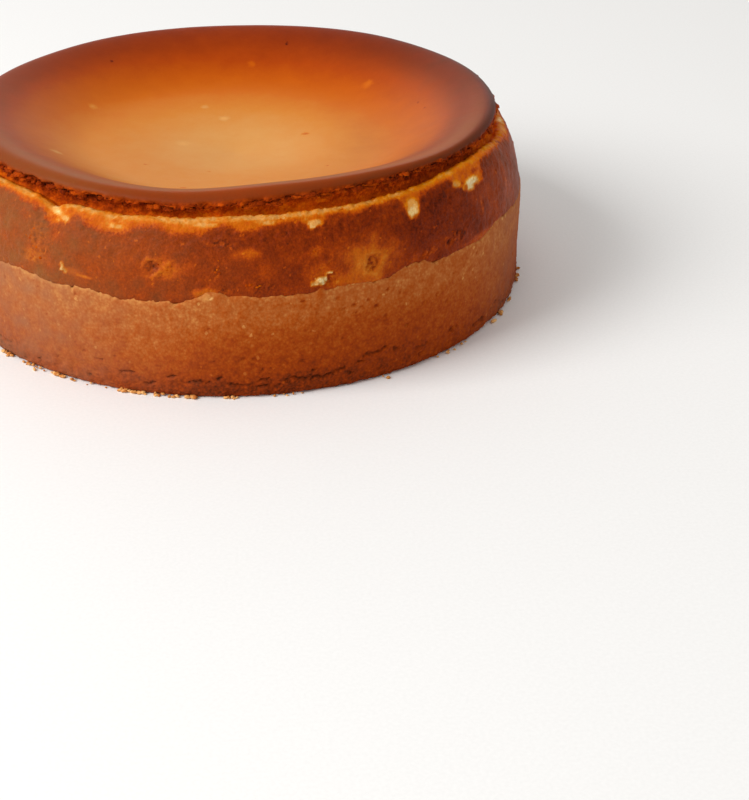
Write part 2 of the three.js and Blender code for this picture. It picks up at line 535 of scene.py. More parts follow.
# Soft changes of browning: angle, height, half width, half height, how brown, how strongly.
SCORCHES = [
    (6.0, 57.5, 26, 4.0, 0.86, 0.7),
    (38.0, 54.5, 24, 5.5, 0.9, 0.75),
    (48.0, 48.0, 14, 4.5, 0.87, 0.5),
    (-50.0, 60.0, 12, 3.5, 0.84, 0.5),
    (23.0, 48.0, 12.5, 7.0, 0.66, 0.85),
    (23.8, 47.4, 7.4, 5.6, 0.56, 0.9),
    (21.0, 41.6, 12, 2.6, 0.6, 0.9),
    (14.4, 46.6, 5.0, 4.6, 0.68, 0.8),
    (1.2, 55.2, 4.4, 1.7, 0.62, 0.95),
    (13.6, 54.0, 2.4, 1.7, 0.6, 0.9),
    (-12.6, 49.4, 6.5, 3.4, 0.66, 0.95),
    (-39.2, 46.0, 6.0, 2.4, 0.66, 0.9),
    (-5.8, 41.6, 5.4, 1.7, 0.54, 0.95),
    (54.0, 41.2, 17, 1.7, 0.66, 0.8),
    (-30.4, 44.2, 3.4, 1.4, 0.66, 0.8),
    (-20.0, 53.0, 20, 5.0, 0.78, 0.5),
]
# Cream and gold patches: angle, height, half width, half height, how brown, how far sunk.
PATCHES = [
    (-35.2, 62.6, 3.6, 1.0, 0.2, 0.1),
    (-32.6, 61.6, 2.6, 1.1, 0.24, 0.1),
    (-34.4, 60.2, 1.3, 0.9, 0.44, 0.1),
    (-22.4, 61.9, 4.2, 0.8, 0.36, 0.1),
    (-6.0, 64.2, 5.0, 0.6, 0.36, 0.0),
    (5.4, 64.6, 4.4, 0.6, 0.34, 0.0),
    (13.7, 63.2, 3.0, 1.0, 0.26, 0.1),
    (13.4, 62.2, 1.4, 0.8, 0.2, 0.1),
    (34.2, 62.9, 2.8, 2.3, 0.3, 0.1),
    (34.0, 60.6, 2.5, 1.9, 0.18, 0.2),
    (51.2, 62.1, 5.2, 1.9, 0.02, 0.2),
    (50.6, 60.7, 2.4, 1.2, 0.1, 0.2),
    (46.4, 64.0, 2.8, 1.4, 0.3, 0.1),
    (53.2, 65.2, 3.4, 0.8, 0.78, 0.0),
    (79.5, 64.0, 5.0, 1.6, 0.42, 0.1),
    (-27.6, 43.4, 3.8, 0.4, 0.52, 0.0),
    (52.6, 53.6, 0.9, 4.4, 0.74, 0.0),
    (64.8, 54.0, 1.5, 7.0, 0.71, 0.0),
]
# Places where the skin broke into crumbs: angle, height, half width, half height.
CRUMBLED = [
    (-14.2, 50.4, 6.2, 3.2),
    (-38.0, 52.0, 4.4, 6.0),
    (-40.1, 45.6, 3.6, 2.0),
    (-4.0, 49.4, 1.0, 3.0),
    (-2.6, 42.6, 2.2, 1.4),
    (3.4, 43.5, 4.2, 1.4),
    (-3.4, 58.8, 5.0, 1.8),
    (24.1, 46.8, 4.6, 3.4),
    (13.6, 54.0, 1.2, 1.2),
    (15.5, 44.0, 3.4, 2.6),
    (36.0, 44.6, 4.5, 1.4),
    (43.5, 46.2, 4.5, 2.2),
]
HIDDEN_FROM, HIDDEN_TO = 84, 300
rng = np.random.default_rng(7)
for angle in np.arange(HIDDEN_FROM, HIDDEN_TO, 13.5):
    where, level = angle + rng.uniform(-6, 6), rng.uniform(61.2, 64.4)
    width, rise = rng.uniform(1.4, 5.6), rng.uniform(0.7, 2.2)
    TONGUES.append((where, rng.uniform(1.2, 4.6), rng.uniform(0.6, 5.4)))
    PATCHES.append((where, level, width, rise, rng.uniform(0.1, 0.5), 0.1))
    where, level = angle + rng.uniform(-6, 6), rng.uniform(43, 56)
    CRUMBLED.append((where, level, rng.uniform(1.4, 5.5), rng.uniform(1.2, 3.4)))
    where, level = angle + rng.uniform(-6, 6), rng.uniform(42, 58)
    width, rise = rng.uniform(4, 24), rng.uniform(2, 6)
    SCORCHES.append((where, level, width, rise, rng.choice([0.64, 0.7, 0.86, 0.9]), 0.7))

# Craters where a bubble burst against the tin: angle, height, half width, half height, depth,
# how brown the bottom is, and how brown and how wide the lip is.
CRATERS = [
    (-15.2, 49.6, 2.3, 2.4, 0.9, 0.76, 0.56, 0.3),
    (24.1, 47.0, 3.8, 3.4, 0.7, 0.7, 0.5, 0.45),
    (41.5, 45.6, 1.4, 1.2, 0.6, 0.84, 0.66, 0.35),
    (-37.0, 49.0, 1.2, 1.0, 0.4, 0.8, 0.66, 0.35),
    (104, 50, 3.2, 2.8, 1.0, 0.78, 0.64, 0.35),
    (163, 52, 2.8, 2.4, 0.9, 0.76, 0.66, 0.3),
    (-128, 47, 3.2, 2.9, 1.0, 0.78, 0.63, 0.35),
    (212, 51, 1.8, 1.6, 0.7, 0.8, 0.6, 0.35),
]
# Lumps of pale filling that squeezed out: angle, height, half width, half height, how far.
CHIPS = [
    (13.1, 42.8, 2.2, 1.1, 0.7),
    (14.4, 44.4, 2.0, 1.3, 0.8),
    (15.6, 46.2, 1.3, 0.8, 0.6),
    (-32.6, 45.6, 0.9, 1.1, 0.6),
    (-31.9, 44.0, 0.9, 1.0, 0.6),
    (188, 44.5, 1.6, 1.6, 0.7),
]

# %% [markdown]
# The relief and the browning are worked out together, because on the real cake they go
# together: where the skin tore off, the surface is lower as well as paler. Both start from the
# same bumps of four sizes and the same crumbs, and the gaps between crumbs are drawn browner
# than their tops, a painted shade. The relief is each point's way out of the surface in
# millimetres.

# %% Bumps and crumbs of the filling
BUMPS = (15, 5.5, 2.4, 1.2)
CRUMB = 1.8
points, around = filling.points, filling.angle
torn, wall, fringe = (filling.trait[name] for name in ("torn", "wall", "fringe"))
broad, middling, small, fine = (lumps(points, size, k) for k, size in enumerate(BUMPS))
# Crumbs lie flat, so they are measured on points that are stretched upwards.
crumb, tone = crumbs(points * (1, 1, 1.4), CRUMB, torn + wall > 0.05)
# What frays the outline of every mark.
fray = 0.3 * middling + 0.28 * small + 0.14 * fine + 0.2 * tone

# %% [markdown]
# Just under the ledge the skin stayed on the tin, so the side starts golden and turns brown
# further down, along a border that reaches down in tongues. It could be one soft ramp, but the
# real border is torn, so its place is shifted by the bumps and the crumbs.

# %% The golden border
GOLD_REACH = 0.9
# Where the gold passes through red orange to brown over a wider border.
BORDER, BORDER_SWELLS = 1.4, [(-24, 26, 2.0), (6, 10, 0.8), (200, 70, 1.0)]
LEDGE_BROWN_SWELLS = [(50, 26, 0.05), (86, 18, 0.1), (-8, 20, -0.03), (-36, 20, 0.03)]

depth = ledge_at(around) - points[:, 2]
reach = GOLD_REACH + 0.7 * middling + 0.6 * small + 0.5 * tone + 0.35 * fine
for angle, half_width, further in TONGUES:
    away = turned_away(around, angle) / math.radians(half_width)
    reach = reach + further * bell(away**2)
gold = LEDGE_BROWN + UNDER_LEDGE * smooth((depth - 0.2) / 1.6)
gold = gold + swells(around, LEDGE_BROWN_SWELLS) + 0.07 * middling + 0.06 * small + 0.05 * tone
# Over the ledge's inner edge the gold passes into the groove's orange.
gold = gold + 0.5 * (1 - wall)
on_wall = wall > 0.5
border = BORDER + swells(around, BORDER_SWELLS)
skin = np.where(on_wall, smooth((depth - reach + 0.2) / border), 0)
bare = wall * (1 - skin)
print(f"gold covers {(bare > 0.5).sum() / on_wall.sum():.0%} of the side")

# %% [markdown]
# The brown of the side is uneven in patches of every size, with scorches where the tin was
# hotter or the cake had come away from it. The last value made here says how strongly the
# finest grain breaks up the colour, which the material draws finer than any mesh could.

# %% Browning of the side
browned = filling.trait["browned"]
browned = browned + wall * (0.03 * broad + 0.035 * middling + 0.022 * small + 0.015 * fine)
for *place, colour, strength in SCORCHES:
    away = np.clip(mark_distance(filling, *place) + 0.25 * middling + 0.1 * small, 0, None)
    share = wall * strength * np.exp(-((away / 1.1) ** 3))
    browned = towards(browned, colour + 0.02 * middling + 0.025 * small, share)
browned = np.where(on_wall, towards(gold, browned, skin), browned)
frayed = 0.25 * wall + 0.9 * torn + wall * bell((skin - 0.5) / 0.4)

# %% [markdown]
# Skin is smoother than bare filling, with pores. Just under the ledge at the front it dried in
# fine wrinkles. The top is smooth and only sags.

# %% Relief of the side and the top
WRINKLED_SWELLS = [(12, 24, 1), (46, 16, 0.8), (-44, 12, 0.5), (140, 40, 0.7), (-120, 30, 0.7)]
WRINKLES_BELOW, WRINKLES_HALF_HEIGHT = 5.5, 3.2
SAG, SAG_WIDTH = 0.25, 42

# At the right, where its outline shows against the background, the side is the smoothest.
calm = 1 - swells(around, [(78, 26, 0.6)])
grit = 0.1 * crumb + 0.12 * fine + 0.06 * small
pore = wall * skin * smooth((-fine - 0.5) / 0.25)
relief = torn * (0.35 * small + 0.22 * fine) + wall * (0.2 * broad + 0.08 * small)
relief = relief + wall * skin * (0.14 + calm * grit) - 0.2 * calm * pore
relief = relief + bare * (0.1 * middling + 0.2 * small + 0.3 * crumb + 0.12 * fine)
wrinkled = bell((depth - WRINKLES_BELOW) / WRINKLES_HALF_HEIGHT)
wrinkled = wall * skin * wrinkled * swells(around, WRINKLED_SWELLS)
relief = relief + wrinkled * 0.4 * lumps(points * (1, 1, 1.3), 1.9, 6)
browned = browned + wrinkled * (0.03 - 0.05 * lumps(points, 1.7, 7))
top = (1 - wall) * (1 - torn)
sag = SAG * lumps(points, SAG_WIDTH, 4) + 0.012 * middling
relief = relief + top * (filling.trait["radius"] > 1) * sag

# %% [markdown]
# The torn edge is a fringe of crumbs with hollows between them, and below it lies the
# groove. The hollows and the gaps between the crumbs are drawn darker as painted shade. From the
# side it has to look broken, so here the relief is the strongest.

# %% Relief and browning of the torn edge
# Where the rim shows against the background, the torn edge is nearly clean.
CALM_SWELLS = [(92, 24, 0.92)]
# How dark the hollows of the torn edge are drawn: painted shade.
HOLLOW_SHADE = 0.95

hollow = smooth((lumps(points * (1, 1, 1.6), 6, 5) + 0.3 * small - 0.34) / 0.3)
ragged_edge = 0.6 * (crumb - 0.5) + 0.3 * small + 0.25 * fine - 1.1 * hollow
relief = relief + fringe * ragged_edge * (1 - swells(around, CALM_SWELLS))
# The gaps between crumbs are drawn browner and the hollows nearly black: painted shade.
browned = browned + fringe * (0.16 * (1 - crumb) + 0.06 * tone - 0.05 * small)
browned = towards(browned, HOLLOW_SHADE, 0.7 * fringe * hollow)
groove = torn * (1 - fringe) * (1 - wall)
browned = browned + groove * (0.06 * middling + 0.04 * tone + 0.05 * small)

# %% [markdown]
# Now the marks, one kind after another. Each has a share at every point, from 0 outside its
# frayed outline to 1 inside, and the share moves both the browning and the relief.

# %% Crumbled places, patches, craters and chips
for place in CRUMBLED:
    share = wall * smooth((1.25 - mark_distance(filling, *place) + 0.9 * fray) / 0.7)
    # The gaps between crumbs are drawn browner: painted shade.
    browned = browned + 0.9 * share * (np.where(tone > 0, -0.13, 0.01) + 0.09 * (1 - crumb))
    frayed = frayed + 0.7 * share
    relief = relief + share * (0.45 * (crumb - 0.5) + 0.12 * fine)
for *place, colour, sunk in PATCHES:
    share = wall * smooth(1.4 - mark_distance(filling, *place) + 0.7 * fray)
    browned = towards(browned, colour + 0.06 * small - 0.03 * tone, share)
    relief = relief - share * (sunk + 0.12 * fine)
for *place, deep, bottom, edge, lip_width in CRATERS:
    away = mark_distance(filling, *place) + 0.9 * fray
    bowl = wall * smooth((1.05 - away) / 0.8)
    lip = wall * bell((away - 1.2) / lip_width) * smooth(0.95 + middling)
    browned = towards(browned, edge + 0.05 * tone, 0.9 * lip)
    # The gaps between crumbs in the bowl are drawn browner: painted shade.
    browned = towards(browned, bottom + 0.07 * tone + 0.1 * (1 - crumb), 0.85 * bowl)
    relief = relief - deep * bowl * (1 - 0.4 * crumb) + 0.5 * deep * lip
for *place, out in CHIPS:
    share = wall * smooth((1.1 - mark_distance(filling, *place) + fray) / 0.4)
    # The gaps between crumbs are drawn browner: painted shade.
    browned = towards(browned, 0.08 + 0.06 * tone + 0.25 * (1 - crumb), share)
    relief = relief + share * (out * crumb + 0.2 * fine)
print(f"filling relief: {relief.min():.2f} to {relief.max():.2f} mm")

# %% [markdown]
# Two more values go with each point. One mixes in a dull greyish brown, partly dust and partly
# a painted sheen, the haze that the lamps lay on the satin skin: in drifts on the side, on the
# rim, on the dish's right bank and on the inner side of the crest. The other is a painted glow:
# torn filling is damp and lets light through, so there it is drawn brighter.

# %% Dust and sheen, and painted glow
# How much dull greyish brown is mixed in on the side: partly dust, partly painted sheen.
DUST_AND_SHEEN_SWELLS = [(-48, 34, 0.5), (70, 14, 0.14), (165, 60, 0.25), (-140, 35, 0.3)]
RIM_SHEEN, BANK_SHEEN, CREST_SHEEN, HALO_DUST = 0.4, 0.2, 0.3, 0.12
HALO = (23.4, 47.5, 11.5, 8)

share = filling.trait["radius"] / crest_radius_at(around)
rolled = smooth((share - 0.995) / 0.01) * smooth((turned_away(around, 0) + 0.7) / 0.5)
rim = smooth((share - 0.66) / 0.22) * np.cos(around / 2) ** 2 * (1 - 0.65 * rolled)
rim = rim * (1 - swells(around, [(84, 30, 0.6)]))
bank = smooth((share - 0.3) / 0.25) * (1 - 0.8 * smooth((share - 0.84) / 0.1))
bank = bank * swells(around, [(76, 40, 1)])
crest = bell((share - 0.965) / 0.04) * smooth(np.cos(around) + 0.3)
dust_and_sheen = wall * skin * swells(around, DUST_AND_SHEEN_SWELLS) * (1 + 0.35 * middling)
halo = np.clip(mark_distance(filling, *HALO) + 0.2 * middling, 0, None)
dust_and_sheen = dust_and_sheen + HALO_DUST * wall * bell(halo**2)
# On the top the dull greyish brown is painted sheen: on the rim, the right bank and the crest.
dust_and_sheen = dust_and_sheen + top * (RIM_SHEEN * rim + BANK_SHEEN * bank + CREST_SHEEN * crest)
# The dish browns further up its left and right banks, and the inner side of the crest is paler,
# a painted highlight along the crest.
sides = np.abs(np.sin(around)) + smooth(np.sin(around))
browned = browned + 0.045 * top * smooth((share - 0.8) / 0.12) * sides
browned = browned - (0.07 + swells(around, [(34, 16, 0.06)])) * top * crest
# Painted glow: damp torn filling, and the gold on the right, are drawn brighter as if lit through.
painted_glow = torn * (1 - wall) * (1 - swells(around, [(-36, 30, 0.6)]))
painted_glow = painted_glow + bare * swells(around, [(60, 28, 1)])

# %% [markdown]
# A mesh carries such values as named attributes of its points, and the material reads them by
# name. They could be painted as vertex colours, but plain numbers stay exact and easy to change.


# %% The filling's mesh
def mesh_piece(name, points, faces, values):
    """A smooth object in metres from points in millimetres, with named values for each point."""
    mesh = bpy.data.meshes.new(name)
    mesh.from_pydata(points * MM, [], faces)
    for label, numbers in values.items():
        attribute = mesh.attributes.new(label, "FLOAT", "POINT")
        attribute.data.foreach_set("value", np.asarray(numbers, dtype=np.float32))
    mesh.shade_smooth()
    made = bpy.data.objects.new(name, mesh)
    scene.collection.objects.link(made)
    return made


values = {"browned": browned, "dust_and_sheen": dust_and_sheen, "frayed": frayed, "painted_glow": painted_glow, "torn": torn}
# The side is smoothest at the right, so its finest grain is weaker there.
values["wall"] = wall * (1 - swells(around, [(82, 18, 0.5)]))
skin_points = points + filling.normals() * relief[:, None]
baked_filling = mesh_piece("baked_filling", skin_points, filling.faces, values)

# %% [markdown]
# The crust is crushed biscuit and butter, pressed by hand over the tin's bottom and up its side.
# Pressing leaves a dense grain with pores between the crumbs, and near the foot, where the tin
# was turned out, short level cracks.

# %% The crust's profile
# How brown the crust is by height, and where it is more or less so by angle. Nicks are places
# where a little of the top edge broke away.
CRUST_BROWNING = [(0, 0.68), (3, 0.69), (10, 0.63), (16, 0.585), (24, 0.53), (31, 0.44), (40, 0.4)]
CRUST_BROWN_SWELLS = [(-30, 22, -0.09), (16, 24, 0.04), (56, 16, -0.06), (180, 60, -0.03)]
FOOT_BROWN_SWELLS = [(-6, 20, 0.06), (34, 18, -0.06), (-42, 16, 0.03)]
NICK_SWELLS = [(-38, 24, 0.8), (180, 80, 0.8)]
# The top edge is drawn paler: a painted highlight where it turns up to the light.
EDGE_HIGHLIGHT, EDGE_HIGHLIGHT_SWELLS = 0.05, [(-38, 14, 0.1), (200, 60, 0.05)]
FOOT_STEP, CRUST_STEP = 0.5, 0.6
UNDERSIDE_BROWN, INSIDE_BROWN = 0.6, 0.3


def crust_stretches(angle):
    """Knots of radius, height, browned, foot and wall."""
    edge = crust_edge_at(angle) + 0.8 * ragged(angle, 4.6, 10) + 0.5 * ragged(angle, 1.7, 11)
    nicks = smooth((ragged(angle, 3.6, 12) - 0.3) / 0.25)
    edge = edge - nicks * (0.5 + swells(angle, NICK_SWELLS))
    lean = swells(angle, CRUST_BROWN_SWELLS)
    foot_lean = swells(angle, FOOT_BROWN_SWELLS)
    pale = EDGE_HIGHLIGHT + swells(angle, EDGE_HIGHLIGHT_SWELLS)

    def tan(height, paler=0):
        shift = lean * (1 - 0.6 * smooth((height - 16) / 20))
        return np.interp(height, *zip(*CRUST_BROWNING)) + shift - paler

    underside = [
        (0, 0, UNDERSIDE_BROWN, 0, 0),
        (TIN_RADIUS - 1.9, 0, UNDERSIDE_BROWN, 0, 0),
    ]
    foot = [
        underside[-1],
        (TIN_RADIUS - 0.9, 0.8, tan(0.8) + foot_lean, 1, 1),
        (TIN_RADIUS - 0.4, 3, tan(3) + foot_lean, 0.8, 1),
        (TIN_RADIUS, 10, tan(10), 0.3, 1),
    ]
    side = [foot[-1]]
    side += [(TIN_RADIUS, height, tan(height), 0, 1) for height in (16, 24, 31)]
    side += [
        (TIN_RADIUS, edge - 2, tan(36), 0, 1),
        (TIN_RADIUS - 0.2, edge - 0.7, tan(38, pale), 0, 1),
        (TIN_RADIUS - 0.9, edge, tan(39, pale), 0, 1),
    ]
    inside = [
        side[-1],
        (CUP_RADIUS, edge, INSIDE_BROWN, 0, 0),
        (CUP_RADIUS, CRUST_BASE, INSIDE_BROWN, 0, 0),
        (0, CRUST_BASE, INSIDE_BROWN, 0, 0),
    ]
    return [(HIDDEN_STEP, underside), (FOOT_STEP, foot), (CRUST_STEP, side), (HIDDEN_STEP, inside)]


crust = Turned(crust_stretches, ["browned", "foot", "wall"], rounding=1)
print(f"crust: {len(crust.rings)} rings, {len(crust.points)} points")

# %% [markdown]
# A crack is a long thin mark whose line wanders up and down. The ones at the front are placed,
# and the rest are drawn at random in the lowest 14 mm, where the real ones are. Below each crack
# the crust stands a little proud, as where a layer slipped.

# %% Cracks and pits of the crust
# Cracks are angle, height and half length. Pits are angle, height and radius.
CRACKS = [
    (14.7, 5.9, 7.5),
    (17.4, 7.6, 2.6),
    (10.3, 7.2, 4.5),
    (8.0, 5.6, 1.8),
    (23.9, 11.0, 4.6),
    (21.5, 9.4, 1.8),
    (-26.1, 11.6, 2.2),
    (-20.6, 8.8, 3.6),
    (2.9, 4.6, 4.4),
    (-0.6, 5.3, 6.0),
    (-7.6, 6.7, 5.0),
    (3.6, 7.4, 2.8),
    (-12.5, 8.2, 2.2),
    (-9.8, 6.0, 1.6),
    (-4.2, 8.6, 1.4),
    (6.0, 4.0, 1.8),
    (12.6, 8.8, 1.4),
    (19.4, 5.6, 1.6),
    (26.4, 12.4, 1.5),
    (29.0, 10.6, 1.8),
]
PITS = [
    (20.2, 32.4, 0.7),
    (21.6, 31.0, 0.6),
    (23.0, 33.2, 0.5),
    (24.6, 30.2, 0.7),
    (22.4, 28.3, 0.5),
    (18.2, 31.6, 0.5),
    (17.0, 36.0, 0.5),
    (27.0, 35.4, 0.5),
    (29.5, 33.0, 0.5),
]
for _ in range(90):
    level = 3.0 + 9 * rng.beta(1.4, 2.2)
    CRACKS.append((rng.uniform(33, 345), level, rng.uniform(0.9, 3.2)))
for _ in range(200):
    PITS.append((rng.uniform(0, 360), rng.uniform(3, 37), rng.uniform(0.3, 0.6)))
CRACK_HALF_WIDTH = 0.42
# Inside cracks and pits the crust is drawn dark: painted shade.
CRACK_SHADE, PIT_SHADE = 0.88, 0.8

# %% [markdown]
# The crust's grain is made as the filling's was, from bumps of four sizes and crumbs, and it is
# loosest at the foot.

# %% Bumps and crumbs of the crust
CRUST_BUMPS = (18, 5, 2.6, 1.3)
BISCUIT_CRUMB = 1.6
CRUST_SEED = 5
points, around, height = crust.points, crust.angle, crust.points[:, 2]
wall, foot = crust.trait["wall"], crust.trait["foot"] * crust.trait["wall"]
numbered = enumerate(CRUST_BUMPS, CRUST_SEED)
broad, middling, small, fine = (lumps(points, size, k) for k, size in numbered)
crumb, tone = crumbs(points, BISCUIT_CRUMB, wall > 0.05, 9)
browned = crust.trait["browned"]
browned = browned + wall * (0.02 * broad + 0.025 * middling + 0.035 * small + 0.02 * tone)
# The gaps between the foot's crumbs are drawn browner: painted shade.
browned = browned + foot * (0.08 * (1 - crumb) - 0.03 * tone)
relief = wall * (0.2 * broad + 0.08 * middling + 0.06 * small + 0.06 * fine + 0.05 * crumb)
relief = relief + foot * 0.35 * (small + crumb)


# %% Cutting the cracks and the pits
def near(form, angle, reach):
    """The numbers of the points within `reach` millimetres of an angle."""
    return np.nonzero(np.abs(turned_away(form.angle, angle)) * TIN_RADIUS < reach)[0]


wander = 0.8 * lumps(points, 4, 9) + 0.45 * fine
for angle, level, half_length in CRACKS:
    here = near(crust, angle, half_length)
    along = TIN_RADIUS * turned_away(around[here], angle) / half_length
    off = (height[here] - level + wander[here]) / (CRACK_HALF_WIDTH * np.sqrt(1.1 - along**2))
    broken = smooth((1 + middling[here] + small[here]) / 0.5)
    ends = wall[here] * broken * smooth(2.5 * (1 - np.abs(along)))
    share = ends * bell(off)
    relief[here] += ends * 0.35 * bell(off / 2 + 1.2) - share
    # Dark inside the crack: painted shade.
    browned[here] = towards(browned[here], CRACK_SHADE, 0.75 * share)
for angle, level, radius in PITS:
    here = near(crust, angle, 3 * radius)
    away = mark_distance(crust, angle, level, 1.4 * radius, radius)[here] + 0.5 * small[here]
    share = wall[here] * smooth(1.3 - away)
    relief[here] -= 0.8 * radius * share
    # Dark inside the pit: painted shade.
    browned[here] = towards(browned[here], PIT_SHADE, 0.6 * share)
print(f"crust relief: {relief.min():.2f} to {relief.max():.2f} mm")

# %% The crust's mesh
# A pale bump of crust stands up left of the front.
BUMP = (-5.9, 39.9, 3.6, 1.6)
BUMP_BROWN = 0.26
# Where the crust takes a dull greyish tone: partly dust, partly painted sheen.
CRUST_DUST_AND_SHEEN_SWELLS = [(-46, 26, 0.5), (66, 12, 0.3), (170, 60, 0.3), (-130, 40, 0.35)]

share = wall * smooth((1.2 - mark_distance(crust, *BUMP) + 0.3 * small) / 0.9)
browned = towards(browned, BUMP_BROWN, share)
dust_and_sheen = wall * swells(around, CRUST_DUST_AND_SHEEN_SWELLS) * (1 + 0.3 * middling)
values = {"browned": browned, "dust_and_sheen": dust_and_sheen}
crust_points = points + crust.normals() * relief[:, None]
pressed_crust = mesh_piece("pressed_crust", crust_points, crust.faces, values)

# %% [markdown]
# Loose things are real meshes too: curled flakes along the torn skin, crumbs that cling to the
# side, and crumbs round the foot. A particle system could scatter them, but joined meshes keep
# each crumb where it was put and are easy to hand on. Each flake is a small bent slab and each
# crumb a lumpy ball, so all of them are closed.

# %% Small closed forms, joined into one piece of each kind
FLAKE_ALONG, FLAKE_ACROSS = 5, 3


def ball_corners():
    """The corners and faces of a round ball one millimetre across."""
    ball = bmesh.new()
    bmesh.ops.create_icosphere(ball, subdivisions=2, radius=0.5)
    corners = np.array([corner.co[:] for corner in ball.verts])
    faces = [[corner.index for corner in face.verts] for face in ball.faces]
    ball.free()
    return corners, faces


BALL, BALL_FACES = ball_corners()


def lumpy_crumb(size):
    """The points of one crumb about this many millimetres across, round its own middle."""
    shift = rng.uniform(0, 90, 3)
    swelling = np.array([1 + 0.5 * noise.noise(place) for place in (BALL * 2.6 + shift).tolist()])
    swelling = swelling * rng.uniform(0.8, 1.2, len(BALL))
    turned = np.array(Euler(rng.uniform(0, TURN, 3)).to_matrix())
    return (BALL * swelling[:, None] * size * rng.uniform(0.65, 1.2, 3)) @ turned


def flake_faces():
    """Faces of a slab: its upper side, its lower side and the strip round them."""
    number = np.arange(FLAKE_ALONG * FLAKE_ACROSS).reshape(FLAKE_ALONG, FLAKE_ACROSS)
    upper = []
    for i in range(FLAKE_ALONG - 1):
        for j in range(FLAKE_ACROSS - 1):
            upper.append([number[i, j], number[i + 1, j], number[i + 1, j + 1], number[i, j + 1]])
    lower = [[corner + number.size for corner in face[::-1]] for face in upper]
    outline = [*number[:, 0], *number[-1, 1:], *number[-2::-1, -1], *number[0, -2:0:-1]]
    strip = []
    for a, b in zip(outline, outline[1:] + outline[:1]):
        strip.append([b, a, a + number.size, b + number.size])
    return [[int(corner) for corner in face] for face in upper + lower + strip]


FLAKE_FACES = flake_faces()


def curled_flake(length, width, thickness, curl):
    """The points of a bent slab: x runs along it, y out of the cake and z up."""
    along, across = np.meshgrid(
        np.linspace(-0.5, 0.5, FLAKE_ALONG), np.linspace(0, 1, FLAKE_ACROSS), indexing="ij"
    )
    taper = 1 - 1.6 * along**2 + rng.uniform(-0.15, 0.15, along.shape)
    y = across * taper * width
    z = -curl * across**2 * width + 0.3 * length * rng.uniform(-0.3, 0.3) * along
    thin = thickness * (1 - 0.6 * across)
    upper = np.stack([along * length, y, z + thin / 2], axis=-1).reshape(-1, 3)
    lower = np.stack([along * length, y, z - thin / 2], axis=-1).reshape(-1, 3)
    return np.vstack([upper, lower])


def set_on_side(shape, angle, radius, height):
    """Moves a small form to its place round the cake, its y axis pointing out."""
    turned = shape @ np.array(Matrix.Rotation(angle + math.pi, 3, "Z").transposed())
    return turned + (radius * math.sin(angle), -radius * math.cos(angle), height)


def joined_piece(name, shapes, faces, browned):
    """One object from many small forms that share their faces, each with its own browning."""
    count = len(shapes[0])
    all_faces = [[i + k * count for i in face] for k in range(len(shapes)) for face in faces]
    values = {"browned": np.repeat(browned, count), "torn": np.ones(count * len(shapes))}
    values["frayed"] = values["torn"]
    print(f"{name}: {len(shapes)} small forms, {len(all_faces)} faces")
    return mesh_piece(name, np.vstack(shapes), all_faces, values)


# %% Flakes of torn skin
FLAKES = 380
shapes, browned = [], []
for _ in range(FLAKES):
    angle = rng.uniform(0, TURN)
    spot = np.array([angle])
    crag = waves(spot, TORN_WAVES)[0]
    level = crest_at(spot)[0] - TORN_DROP + 0.7 * crag + rng.uniform(-0.9, 0.9)
    width = rng.uniform(1.2, 2.0) * (1 - 0.6 * swells(spot, CALM_SWELLS)[0])
    slab = curled_flake(rng.uniform(1.6, 4.6), width, rng.uniform(0.3, 0.5), rng.uniform(0.1, 0.8))
    radius = TORN_RADIUS + crag - rng.uniform(0.9, 1.3)
    shapes.append(set_on_side(slab, angle, radius, level))
    browned.append(rng.uniform(0.73, 0.9))
torn_skin_flakes = joined_piece("torn_skin_flakes", shapes, FLAKE_FACES, browned)

# %% Crumbs that cling to the side
# Clusters: angle, height, half width, half height, how many, how brown.
CLUSTERS = [
    (-11.6, 50.0, 4.0, 2.6, 7, 0.7),
    (27.6, 46.0, 2.6, 2.4, 4, 0.68),
    (14.6, 44.4, 3.4, 2.0, 7, 0.3),
    (-32.4, 44.6, 1.4, 1.6, 7, 0.34),
    (-38.2, 52.0, 4.0, 5.0, 14, 0.7),
    (-3.6, 49.4, 1.2, 3.0, 6, 0.7),
    (3.4, 43.6, 3.6, 1.2, 12, 0.66),
    (13.6, 54.0, 1.2, 1.2, 6, 0.64),
    (36.0, 44.8, 4.0, 1.2, 8, 0.72),
    (43.5, 46.2, 3.6, 1.8, 8, 0.74),
    (-26.0, 39.2, 6.0, 1.0, 7, 0.66),
]
for _ in range(16):
    where, level = rng.uniform(HIDDEN_FROM, HIDDEN_TO), rng.uniform(43, 56)
    CLUSTERS.append((where, level, rng.uniform(1.5, 5), rng.uniform(1, 3), 9, 0.6))


def side_radius(angle, height):
    """The radius of the filling's side at a height, before its fine relief."""
    drop = ledge_at(angle) - height
    insets, drops = zip(*SHOULDER[::-1])
    roundness = 1 + waves(angle, OUT_OF_ROUND) / TIN_RADIUS
    return (TIN_RADIUS - np.interp(drop, drops, insets)) * roundness


shapes, browned = [], []
for angle, height, half_width, half_height, count, colour in CLUSTERS:
    for _ in range(count):
        where = math.radians(angle) + 0.6 * half_width * rng.normal() / TIN_RADIUS
        level = height + 0.6 * half_height * rng.normal()
        size = 0.6 + 1.1 * rng.beta(1.2, 2.5)
        out = side_radius(where, level) - 0.02 * size
        shapes.append(set_on_side(lumpy_crumb(size) * (1, 0.6, 0.8), where, out, level))
        browned.append(colour + rng.uniform(-0.08, 0.1))
clinging_crumbs = joined_piece("clinging_crumbs", shapes, BALL_FACES, browned)

